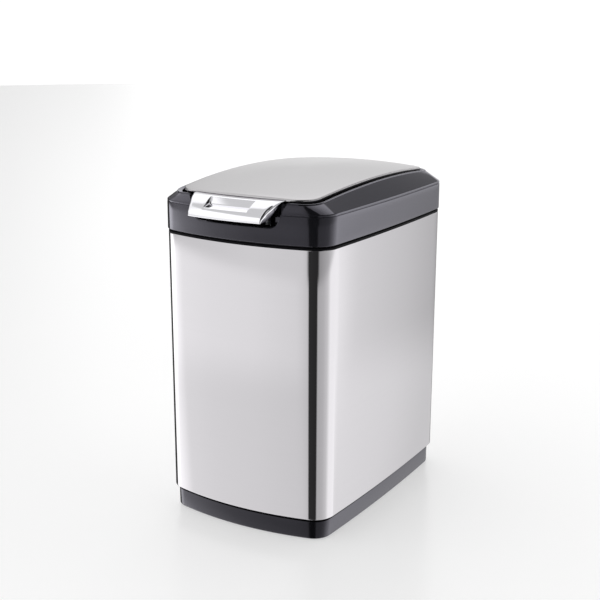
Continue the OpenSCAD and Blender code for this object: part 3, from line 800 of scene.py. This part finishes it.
# painted shade: faces inside the push-bar pocket take the near-black matte plastic so the pocket reads dark
pocket_shade = []
for q in collar_mesh.data.polygons:
    cx, cy, cz = (c / MM for c in q.center)
    front_y = SH + 144.35 - math.sqrt(max(260.2 ** 2 - cx * cx, 0))
    pocket_shade.append(1 if abs(cx) < 48 and front_y + 1.5 < cy < SH - 100 and 250 < cz < 284 and q.normal.y > -0.9 else 0)
collar_mesh.data.polygons.foreach_set("material_index", pocket_shade)
m = plain.data
bpy.data.objects.remove(plain)
bpy.data.meshes.remove(m)
# bosses that take the collar's screws
piece(collar_mesh, "collar_moulding", "collar_body", ("black", "matte_black_and_shade"), "collar")
bosses = Build()
BOSS = [(70.5, -56, 272.2), (70.5, 30, 272.6), (45, 103, 272.8)]
for sx in (-1, 1):
    for bx, by, bz in BOSS:
        pl = lambda q, bx=bx, by=by, sx=sx: q + [sx * bx, by + SH, 0]
        bosses.lathe([(1.45, 246.2), (3.8, 246.2), (4.0, 246.5), (4.0, bz), (1.45, bz)], 32, place=pl)
piece(bosses, "collar_bosses", "collar_body", "black")
screws("collar_screw_set", "collar_body", "collar_screws", (3.2, 2.0, 1.4, 13.6),
       [(sx * x, y, 244.0, "down") for x, y, _ in BOSS for sx in (1, -1)], 0.2)

# ------------------------------------------------------------------ lid skin
lc = np.array([0, LID_C + SH])
tops = [on_lid(toward(lidp(1.2), s, lc), 0) for s in (0.12, 0.25, 0.38, 0.5, 0.62, 0.74, 0.85, 0.94)]
unders = [on_lid(toward(lidp(1.2), s, lc), 0.6) for s in (0.94, 0.85, 0.74, 0.62, 0.5, 0.38, 0.25, 0.12)]
edge = profile([(tops[-1], 0, 0), (on_lid(lidp(0.0), 0.05), 0.95, 8), (on_lid(lidp(0.0), 2.0), 0.22, 3),
                (on_lid(lidp(0.55), 2.0), 0.22, 3), (on_lid(lidp(0.55), 0.6), 0.5, 4), (unders[0], 0, 0)], closed=False)
lid = Build().rings(tops[:-1] + edge + unders[1:], wrap=False, first=np.array([0, lc[1], lz(0, lc[1])]),
                    last=np.array([0, lc[1], lz(0, lc[1]) - 0.6]), flip=True)
piece(lid, "lid_skin", "lid_body", "steel_lid", "lid_panel", sharp=30)

# ------------------------------------------------------------------ lid frame
lf = Build()
t1 = [on_lid(toward(lidp(1.4), s, lc), 0.85) for s in (0.2, 0.4, 0.6, 0.8, 0.94)]
t2 = [on_lid(toward(lidp(3.0), s, lc), 2.6) for s in (0.94, 0.8, 0.6, 0.4, 0.2)]
edge = profile([(t1[-1], 0, 0), (on_lid(lidp(0.95), 0.9), 0.35, 3), (on_lid(lidp(0.8), 2.3), 0, 0), (on_lid(lidp(0.8), 8.5), 0.5, 4),
                (on_lid(lidp(2.9), 8.5), 0.5, 4), (on_lid(lidp(2.9), 2.6), 0.8, 4), (t2[0], 0, 0)], closed=False)
lf.rings(t1[:-1] + edge + t2[1:], wrap=False, first=np.array([0, lc[1], lz(0, lc[1]) - 0.85]),
         last=np.array([0, lc[1], lz(0, lc[1]) - 2.6]), flip=True)
frame_ob = lf.make("lf", 30)
tables = [corner_table(frame_ob.data)]
b = Build().box(-51, 51, -115, -99.4, 262, 276.6, 0)
boolean(frame_ob, b.make("relief"))
b = Build().box(-80, 80, 91, 110, 260, 276.2, 0)
boolean(frame_ob, b.make("rear"))
shade_like(frame_ob, tables)
piece(frame_ob, "lid_underframe", "lid_body", "dark", "lid_frame")
lk = Build()
HY, HZ = 90.0, 277.6


def along_x(x0, y, z):
    """Maps a lathe's axis onto +X from x0."""
    return lambda q: np.stack([q[:, 2] + x0, q[:, 0] + y + SH, q[:, 1] + z], 1)


for x0, x1 in ((34, 41.6), (-41.6, -34), (-19.6, -11), (11, 19.6)):
    w_ = x1 - x0
    lk.lathe([(1.16, 0.0), (2.3, 0.0), (2.6, 0.3), (2.6, w_ - 0.3), (2.3, w_), (1.16, w_)], 48, place=along_x(x0, HY, HZ))
    t_ = lz(max(abs(x0), abs(x1)), 95.2 + SH) - 1.5
    for q in ([(84.6, t_ + 0.6), (87.5, 276.4), (88.7, 276.4), (88.7, t_ + 0.3)], [(91.3, t_ + 0.1), (91.3, 276.4), (92.5, 276.4), (95.2, t_)]):
        lk.prism(q, x0 + 0.05, x1 - 0.05, 0.2)
lk.box(-11, 11, -95.95, -89.5, 265.6, 279, 0.6, 3)
for x in (-32, 32):
    ys = np.arange(-84, 77, 8.0)
    top = [(y, lz(33, y + SH) - 2.3) for y in ys]
    low = [(y, lz(33, y + SH) - 5.6) for y in ys[::-1]]
    lk.prism(top + low, x - 0.8, x + 0.8, 0.25)
for y in (-46, 0, 46):
    xs = np.arange(-60, 61, 10.0)
    pts = [(x, lz(x, y + SH) - 2.3) for x in xs] + [(x, lz(x, y + SH) - 5.2) for x in xs[::-1]]
    bm = bmesh.new()
    A = [bm.verts.new((x, y - 0.8 + SH, z)) for x, z in pts]
    B = [bm.verts.new((x, y + 0.8 + SH, z)) for x, z in pts]
    bm.faces.new(A)
    bm.faces.new(B[::-1])
    for i in range(len(pts)):
        j = (i + 1) % len(pts)
        bm.faces.new((A[j], A[i], B[i], B[j]))
    bmesh.ops.recalc_face_normals(bm, faces=bm.faces[:])
    bmesh.ops.bevel(bm, geom=bm.edges[:], offset=0.25, segments=2, profile=0.5, affect="EDGES")
    lk.take(bm)
piece(lk, "lid_knuckles_and_ribs", "lid_body", "dark")
screws("striker_screw_set", "lid_body", "striker_screws", (2.3, 1.25, 1.0, 6.4),
       [(sx * 6, -97.45, 271.5, "front") for sx in (1, -1)], 0.3)

# ------------------------------------------------------------------ push bar
FRONT = np.array([[41.8, -106.3, 277.3], [40.8, -111.5, 276.8], [39.6, -116.5, 275.3], [38.2, -120, 273.4],
                  [36.6, -123.2, 271.2], [35.4, -126, 268.6], [34.4, -128, 266], [33.7, -129.1, 263.8]])
LIP = np.array([[33.2, -128.9, 262.2], [33.1, -127.8, 261.7]])
BACK = np.array([[33.1, -127.8, 261.7], [33.8, -123, 263.3], [35, -117.4, 266.2], [37, -112.4, 270], [39.4, -108.4, 274], [41.0, -106.9, 276.4]])


def spline(p, n):
    """Catmull-Rom through the points, evenly spaced."""
    q = np.vstack([2 * p[0] - p[1], p, 2 * p[-1] - p[-2]])
    out = []
    for i in range(1, len(q) - 2):
        for t in np.linspace(0, 1, 24, endpoint=False):
            a, b, c, d = q[i - 1:i + 3]
            out.append(0.5 * ((2 * b) + (c - a) * t + (2 * a - 5 * b + 4 * c - d) * t * t + (3 * b - a - 3 * c + d) * t ** 3))
    out.append(p[-1])
    return resample(np.array(out), n)


def resample(p, n):
    s = np.r_[0, np.cumsum(np.linalg.norm(np.diff(p, axis=0), axis=1))]
    t = np.linspace(0, s[-1], n)
    return np.stack([np.interp(t, s, p[:, k]) for k in range(p.shape[1])], 1)


def round_poly(pts, radii, n=6):
    """Open polyline in YZ with rounded corners."""
    out = [pts[0]]
    for i in range(1, len(pts) - 1):
        r = radii[i]
        if not r:
            out.append(pts[i])
            continue
        a, b, c = (np.array([*q, 0.0])[None] for q in (pts[i - 1], pts[i], pts[i + 1]))
        out += [q[0][:2] for q in fillet(a, b, c, r, n)]
    out.append(pts[-1])
    return np.array(out)


NF, NB, NL = 60, 28, 7
fr = spline(FRONT, NF)
bk_ = spline(BACK, NB)
# the lip rounds over from the front to the back
p0, p1, p2 = fr[-1], np.array([33.15, -129.3, 261.75]), bk_[0] + (bk_[1] - bk_[0]) * 0.8
lip = np.array([q[0] for q in fillet(fr[-4][None], p1[None], p2[None], 0.9, NL)])
fr = np.vstack([fr[:-3], lip])
NF = len(fr)
bk_ = np.vstack([p2 + (bk_[2] - p2) * t for t in (0.3,)] + [bk_[2:]])
# the closed section: down the front, then back up the back
loopc = np.vstack([fr, bk_])
J = len(loopc)
hw, py, pz = loopc.T
# notch section
front_len = np.r_[0, np.cumsum(np.linalg.norm(np.diff(fr[:, 1:], axis=0), axis=1))]


def on_front(y):
    """Place on the front curve with the given y."""
    i = int(np.argmin(np.abs(fr[:, 1] - y)))
    return i


ia, ib = on_front(-111.3), on_front(-126.6)
Pa, Pb = fr[ia, 1:], fr[ib, 1:]
before, after = fr[ia - 4, 1:], fr[min(ib + 4, NF - 1), 1:]
wall_top = np.array([-112.45, np.interp(112.45, -fr[:, 1], fr[:, 2])])
floor_front = np.array([-125.2, np.interp(125.2, -fr[:, 1], fr[:, 2])])
poly = [Pa, wall_top, np.array([-116.7, 271.3]), floor_front, Pb]
notch = round_poly(poly, [0, 0.55, 1.1, 0.55, 0], 7)
k = ib - ia + 1
s_out = (front_len[ia:ib + 1] - front_len[ia]) / (front_len[ib] - front_len[ia])
sn = np.r_[0, np.cumsum(np.linalg.norm(np.diff(notch, axis=0), axis=1))]
# points spread evenly along the notch's length
target = np.stack([np.interp(np.linspace(0, 1, k) * sn[-1], sn, notch[:, c]) for c in (0, 1)], 1)
ty, tz = py.copy(), pz.copy()
ty[ia:ib + 1], tz[ia:ib + 1] = target[:, 0], target[:, 1]
D = np.hypot(ty - py, tz - pz)
xw = 20.0 + np.clip((tz - 269.5) / 8.0, 0, 1.1)
# inward normal of the closed section
nx = np.roll(loopc[:, 1:], -1, 0) - np.roll(loopc[:, 1:], 1, 0)
nin = unit(np.stack([nx[:, 1], -nx[:, 0]], 1))
ctr = loopc[:, 1:].mean(0)
if ((ctr - loopc[:, 1:]) * nin).sum() < 0:
    nin = -nin
# how far the rounded edge at each end reaches in from the end
CZT = np.array([261.5, 262, 264, 267.5, 270, 273, 275, 276.3, 276.8, 277.3])
CVT = np.array([0.5, 0.6, 1.0, 2.5, 3.0, 4.0, 4.4, 3.0, 1.8, 0.7])
cr = np.interp(pz, CZT, CVT)
cw = 0.9 * cr - 0.1
cw[NF:] = 0.3



def column(x, f, inx=0.0):
    """One ring of the bar. f is how far each point has moved into the notch."""
    y = py + (ty - py) * f
    z = pz + (tz - pz) * f
    y = y - (hw ** 2 - x ** 2) / 520
    return np.stack([x + np.zeros(J), y + SH + nin[:, 0] * inx, z + nin[:, 1] * inx], 1)


rt = np.minimum(0.7, D * 0.4)
rb_ = np.minimum(0.9, D * 0.4)
half_cols = []
for t in np.linspace(0, 1, 9)[:-1]:
    half_cols.append(column(t * (xw - rb_), np.ones(J)))
Ds = np.maximum(D, 1e-6)
for a_ in np.linspace(0, math.pi / 2, 6):
    half_cols.append(column(xw - rb_ + rb_ * math.sin(a_), 1 - rb_ * (1 - math.cos(a_)) / Ds * (D > 1e-6)))
for t in (0.25, 0.5, 0.75):
    half_cols.append(column(xw, (1 - rb_ / Ds) + ((rt / Ds) - (1 - rb_ / Ds)) * t))
for a_ in np.linspace(0, math.pi / 2, 6):
    half_cols.append(column(xw + rt * (1 - math.cos(a_)), rt * (1 - math.sin(a_)) / Ds))
xs_, xe = xw + rt, hw - cw
for t in np.linspace(0, 1, 9)[1:]:
    half_cols.append(column(xs_ + (xe - xs_) * t, np.zeros(J)))
right = half_cols
left = [c * [-1, 1, 1] for c in half_cols[1:]][::-1]
allc = left + right
bar = Build()
n = J
faces = []
for i in range(len(allc) - 1):
    for j in range(J):
        q = (j + 1) % J
        faces.append([i * n + j, i * n + q, (i + 1) * n + q, (i + 1) * n + j])
# each end: a broad rounded edge, then a lens-shaped end face that reaches back to a crisp rear edge
F_ = slice(0, NF)
fh, fy, fz = hw[F_], py[F_], pz[F_]


def on_bow(x):
    return np.stack([x, fy - (fh ** 2 - x ** 2) / 520 + SH, fz], 1)


back_pts = np.stack([hw[NF:], py[NF:] + SH, pz[NF:]], 1)[::-1]
sb = np.r_[0, np.cumsum(np.linalg.norm(np.diff(back_pts, axis=0), axis=1))]
sf = np.r_[0, np.cumsum(np.linalg.norm(np.diff(np.stack([fh, fy, fz], 1), axis=0), axis=1))]
tb = np.clip(sf / sf[-1], 0, 1) * sb[-1]
rear_edge = np.stack([np.interp(tb, sb, back_pts[:, k]) for k in range(3)], 1)
out_by = 1.5 * np.sin(np.pi * np.clip(sf / sf[-1], 0, 1)) ** 0.7
rear_edge[:, 0] = np.minimum(rear_edge[:, 0] + out_by, 41.7)
corner_ = on_bow(fh + 0.1)
round_ = fillet(on_bow(fh + 0.1 - 2 * cr[F_]), corner_, rear_edge, 50, 9)
bulge = np.stack([np.ones(NF), -0.35 * np.ones(NF), 0 * fz], 1) * (0.35 * np.sin(np.pi * sf / sf[-1]))[:, None]
lens = [round_[-1] + (rear_edge - round_[-1]) * t + bulge * (4 * t * (1 - t)) for t in (0.2, 0.4, 0.6, 0.8)]
rows = round_[1:] + lens + [rear_edge, rear_edge + [-0.22, 0.2, 0], rear_edge + [-0.55, 0.3, 0]]
verts = np.vstack(allc)


def end_rows(first):
    """Strips from the front edge of one end back to the rear edge, and from there to the back of the bar."""
    global verts
    sign = -1 if first else 1
    base_i = 0 if first else (len(allc) - 1) * n
    prev = [base_i + j for j in range(NF)]
    start, last = prev[0], prev[-1]
    tops, lows, fs = [], [], []
    for row in rows:
        k0 = len(verts)
        verts = np.vstack([verts, row * [sign, 1, 1]])
        cur = [k0 + j for j in range(NF)]
        fs += [[prev[j], prev[j + 1], cur[j + 1], cur[j]] for j in range(NF - 1)]
        tops.append(cur[0])
        lows.append(cur[-1])
        prev = cur
    bidx = [base_i + q for q in range(J - 1, NF - 1, -1)]
    i = j = 0
    while i < NF - 1 or j < len(bidx) - 1:
        if j >= len(bidx) - 1 or (i < NF - 1 and sf[i + 1] / sf[-1] <= sb[j + 1] / sb[-1]):
            fs.append([prev[i], prev[i + 1], bidx[j]])
            i += 1
        else:
            fs.append([prev[i], bidx[j + 1], bidx[j]])
            j += 1
    fs.append([start] + tops + [bidx[0]])
    fs.append([last] + lows + [bidx[-1]])
    return fs


faces += end_rows(True) + end_rows(False)
bar.add(verts, faces)
bar_ob = bar.make("push_bar_shell", 19, weld=0.0005)
# painted shade: the notch's side walls and the faces turned towards the collar take the dark chrome copy
shaded_faces = []
for q in bar_ob.data.polygons:
    cx, cy, cz = (c / MM for c in q.center)
    shaded_faces.append(1 if 19.5 < abs(cx) < 22.6 and abs(q.normal.x) > 0.8 and q.normal.x * cx < 0 or q.normal.y > 0.35 else 0)
bar_ob.data.polygons.foreach_set("material_index", shaded_faces)
piece(bar_ob, "push_bar_shell", "latch_body", ("chrome", "recess"), "push_bar")

# ------------------------------------------------------------------ springs
def coil(build, path, r, up, k=10):
    m = len(path)
    rings = []
    for i in range(m):
        t = unit(path[min(i + 1, m - 1)] - path[max(i - 1, 0)])
        a_ = unit(np.cross(up, t))
        b_ = np.cross(t, a_)
        an = np.arange(k) * 2 * math.pi / k
        rings.append(path[i] + r * (np.cos(an)[:, None] * a_ + np.sin(an)[:, None] * b_))
    build.rings(rings, wrap=False, first=path[0], last=path[-1])


ls = Build()
for sx in (-1, 1):
    a_ = np.linspace(0, 5.75 * 2 * math.pi, 180)
    p = np.stack([27.1 + 5.8 * np.linspace(0, 1, 180), HY + SH + 1.95 * np.cos(a_), HZ + 1.95 * np.sin(a_)], 1)
    coil(ls, p * [sx, 1, 1], 0.38, np.array([1.0, 0, 0]))
piece(ls, "lid_spring_coils", "collar_body", "zinc", "lid_springs", sharp=60)
ps = Build()
for sx in (-1, 1):
    a_ = np.linspace(0, 4.5 * 2 * math.pi, 150)
    p = np.stack([26 + 1.9 * np.cos(a_), -105.4 + SH + 1.9 * np.sin(a_), 256.9 + 4.7 * np.linspace(0, 1, 150)], 1)
    coil(ps, p * [sx, 1, 1], 0.36, np.array([0, 0, 1.0]))
piece(ps, "latch_spring_coils", "collar_body", "zinc", "latch_springs", sharp=60)

# ------------------------------------------------------------------ carried-over parts
for node, mat in {"clamp_ring": "dark", "collar_frame": "frame", "hinge_pins": "zinc", "damper_housing": "dark", "latch_pins": "zinc",
                  "lid_bumpers": "rubber", "lid_striker": "zinc", "damper_rotor": "zinc", "latch_lever": "matte_black_and_shade", "latch_screws": "zinc"}.items():
    dress(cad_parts[node], mat)

# ------------------------------------------------------------------ floor, light, camera
fl = Build()
ring = [np.stack([r * np.cos(np.arange(96) * 2 * math.pi / 96), r * np.sin(np.arange(96) * 2 * math.pi / 96), np.zeros(96)], 1) for r in (300, 1200, 5000)]
fl.rings(ring, wrap=False, first=np.array([0, 0, 0.0]), flip=True)
floor = fl.make("floor")
m, nt, sh = material("floor_white")
sh.inputs["Base Color"].default_value = (0.58, 0.58, 0.58, 1)
sh.inputs["Roughness"].default_value = 0.22
sh.inputs["Specular IOR Level"].default_value = 0.25
sh.inputs["Emission Color"].default_value = (1, 1, 1, 1)
sh.inputs["Emission Strength"].default_value = 0.5
floor.data.materials.append(m)
floor.visible_glossy = False

world = bpy.data.worlds.new("studio")
SC.world = world
world.use_nodes = True
nt = world.node_tree
nt.nodes.clear()
N = nt.nodes.new
tc = N("ShaderNodeTexCoord")


def math_node(op, a, b=None):
    n = N("ShaderNodeMath")
    n.operation = op
    for i, v in enumerate((a, b)):
        if v is None:
            continue
        if isinstance(v, (int, float)):
            n.inputs[i].default_value = v
        else:
            nt.links.new(v, n.inputs[i])
    return n.outputs[0]


sep = N("ShaderNodeSeparateXYZ")
nt.links.new(tc.outputs["Generated"], sep.inputs[0])
dx, dy, dz = sep.outputs
az = math_node("ARCTAN2", dx, math_node("MULTIPLY", dy, -1.0))  # 0 to the front, + to the right
azn = math_node("ADD", math_node("DIVIDE", az, 2 * math.pi), 0.5)


def ramp(fac, stops):
    r = N("ShaderNodeValToRGB")
    e = r.color_ramp.elements
    while len(e) > 1:
        e.remove(e[-1])
    e[0].position, e[0].color = stops[0][0], (*([stops[0][1] / 4] * 3), 1)
    for p, v in stops[1:]:
        q = e.new(p)
        q.color = (*([v / 4] * 3), 1)
    nt.links.new(fac, r.inputs[0])
    return r.outputs[0]


deg = lambda a: a / 360 + 0.5


def by_azimuth(*stops):
    return ramp(azn, [(deg(a), v) for a, v in stops])


def blend(a, b, el0, el1):
    """From a to b as the elevation rises from el0 to el1 degrees."""
    k = N("ShaderNodeMapRange")
    k.interpolation_type = "SMOOTHSTEP"
    k.inputs["From Min"].default_value = math.sin(math.radians(el0))
    k.inputs["From Max"].default_value = math.sin(math.radians(el1))
    nt.links.new(dz, k.inputs["Value"])
    mix = N("ShaderNodeMix")
    mix.data_type = "RGBA"
    nt.links.new(k.outputs[0], mix.inputs["Factor"])
    nt.links.new(a, mix.inputs[6])
    nt.links.new(b, mix.inputs[7])
    return mix.outputs[2]


FLOOR = by_azimuth((-180, 0.3), (-166, 0.3), (-154, 0.05), (-100, 0.05), (-96, 1.6), (-75, 1.8), (-66, 1.45), (-60, 1.06),
                   (-45, 1.0), (-25, 0.96), (-6, 0.9), (0.5, 0.72), (2, 0.04), (38, 0.03), (43, 0.6), (70, 0.68), (90, 0.86),
                   (106, 1.3), (142, 1.35), (147, 1.08), (155, 0.98), (162, 0.82), (180, 0.8))
LOW = by_azimuth((-180, 0.3), (-166, 0.3), (-154, 0.05), (-100, 0.05), (-96, 1.9), (-75, 2.1), (-66, 1.75), (-60, 1.2),
                 (-45, 1.14), (-25, 1.1), (-6, 1.0), (0.5, 0.74), (2, 0.04), (38, 0.03), (43, 0.6), (70, 0.68), (90, 0.86),
                 (106, 1.3), (144, 1.3), (147, 0.97), (155, 0.80), (162, 0.6), (180, 0.5))
MID = by_azimuth((-180, 1.0), (-144, 1.0), (-140, 0.02), (-100, 0.03), (-84, 0.2), (-70, 0.4), (-60, 0.85), (-25, 0.95),
                 (-3, 0.9), (1, 0.04), (42, 0.03), (50, 0.4), (90, 0.6), (138, 1.1), (145, 1.3), (155, 0.95), (165, 0.85), (175, 0.9), (180, 1.0))
EDGE = by_azimuth((-180, 1.0), (-160, 0.86), (-140, 0.86), (-134, 0.25), (-100, 0.2), (-80, 0.7), (-45, 1.2), (-12, 1.1), (8, 0.12),
                  (74, 0.1), (90, 0.25), (130, 0.6), (143, 1.5), (165, 1.5), (180, 1.0))
UP = by_azimuth((-180, 0.3), (-176, 0.3), (-171, 1.3), (-160, 1.05), (-140, 0.92), (-134, 0.35), (-100, 0.3), (-80, 0.9), (-60, 1.2),
                (-12, 1.15), (8, 0.1), (70, 0.08), (90, 0.22), (112, 0.25), (124, 0.24), (180, 0.3))
UPPER = by_azimuth((-180, 0.3), (-176, 0.3), (-171, 1.3), (-160, 1.25), (-130, 1.25), (-100, 1.1), (-75, 1.0), (-60, 1.22),
                   (-8, 1.22), (4, 0.04), (68, 0.04), (78, 0.6), (96, 0.5), (112, 0.28), (124, 0.24), (180, 0.3))
TOP = by_azimuth((-180, 1.15), (-102, 1.15), (-90, 0.66), (-22, 0.66), (-14, 1.1), (0, 1.1), (6, 0.03), (74, 0.03), (82, 1.1), (180, 1.15))
sky = FLOOR
for upper, el0, el1 in ((LOW, -19, -13), (MID, -6, -4), (EDGE, 5.5, 8), (UP, 14, 17), (UPPER, 24, 28), (TOP, 44, 47)):
    sky = blend(sky, upper, el0, el1)
bg = N("ShaderNodeBackground")
bg.inputs["Strength"].default_value = 4.0
nt.links.new(sky, bg.inputs[0])
bgc = N("ShaderNodeBackground")
bgc.inputs[0].default_value = (1, 1, 1, 1)
bgc.inputs[1].default_value = 1.05
lp = N("ShaderNodeLightPath")
ms = N("ShaderNodeMixShader")
nt.links.new(lp.outputs["Is Camera Ray"], ms.inputs[0])
nt.links.new(bg.outputs[0], ms.inputs[1])
nt.links.new(bgc.outputs[0], ms.inputs[2])
out = N("ShaderNodeOutputWorld")
nt.links.new(ms.outputs[0], out.inputs[0])

cam = bpy.data.cameras.new("camera")
cam.lens = 71.21
cam.sensor_width = 36
cam.sensor_fit = "HORIZONTAL"
cam.clip_start = 0.01
cam_ob = bpy.data.objects.new("camera", cam)
COL.objects.link(cam_ob)
yaw, pitch, roll = math.radians(30.716), math.radians(14.467), math.radians(0.124)
fw = Vector((-math.sin(yaw) * math.cos(pitch), math.cos(yaw) * math.cos(pitch), -math.sin(pitch)))
rt_ = Vector((math.cos(yaw), math.sin(yaw), 0))
up_ = rt_.cross(fw)
r2 = rt_ * math.cos(roll) + up_ * math.sin(roll)
u2 = -rt_ * math.sin(roll) + up_ * math.cos(roll)
cam_ob.matrix_world = Matrix(((r2.x, u2.x, -fw.x, 0.50836), (r2.y, u2.y, -fw.y, -0.86913 + SH * MM), (r2.z, u2.z, -fw.z, 0.42992), (0, 0, 0, 1)))
SC.camera = cam_ob
SC.view_settings.view_transform = "Standard"
SC.view_settings.look = "None"
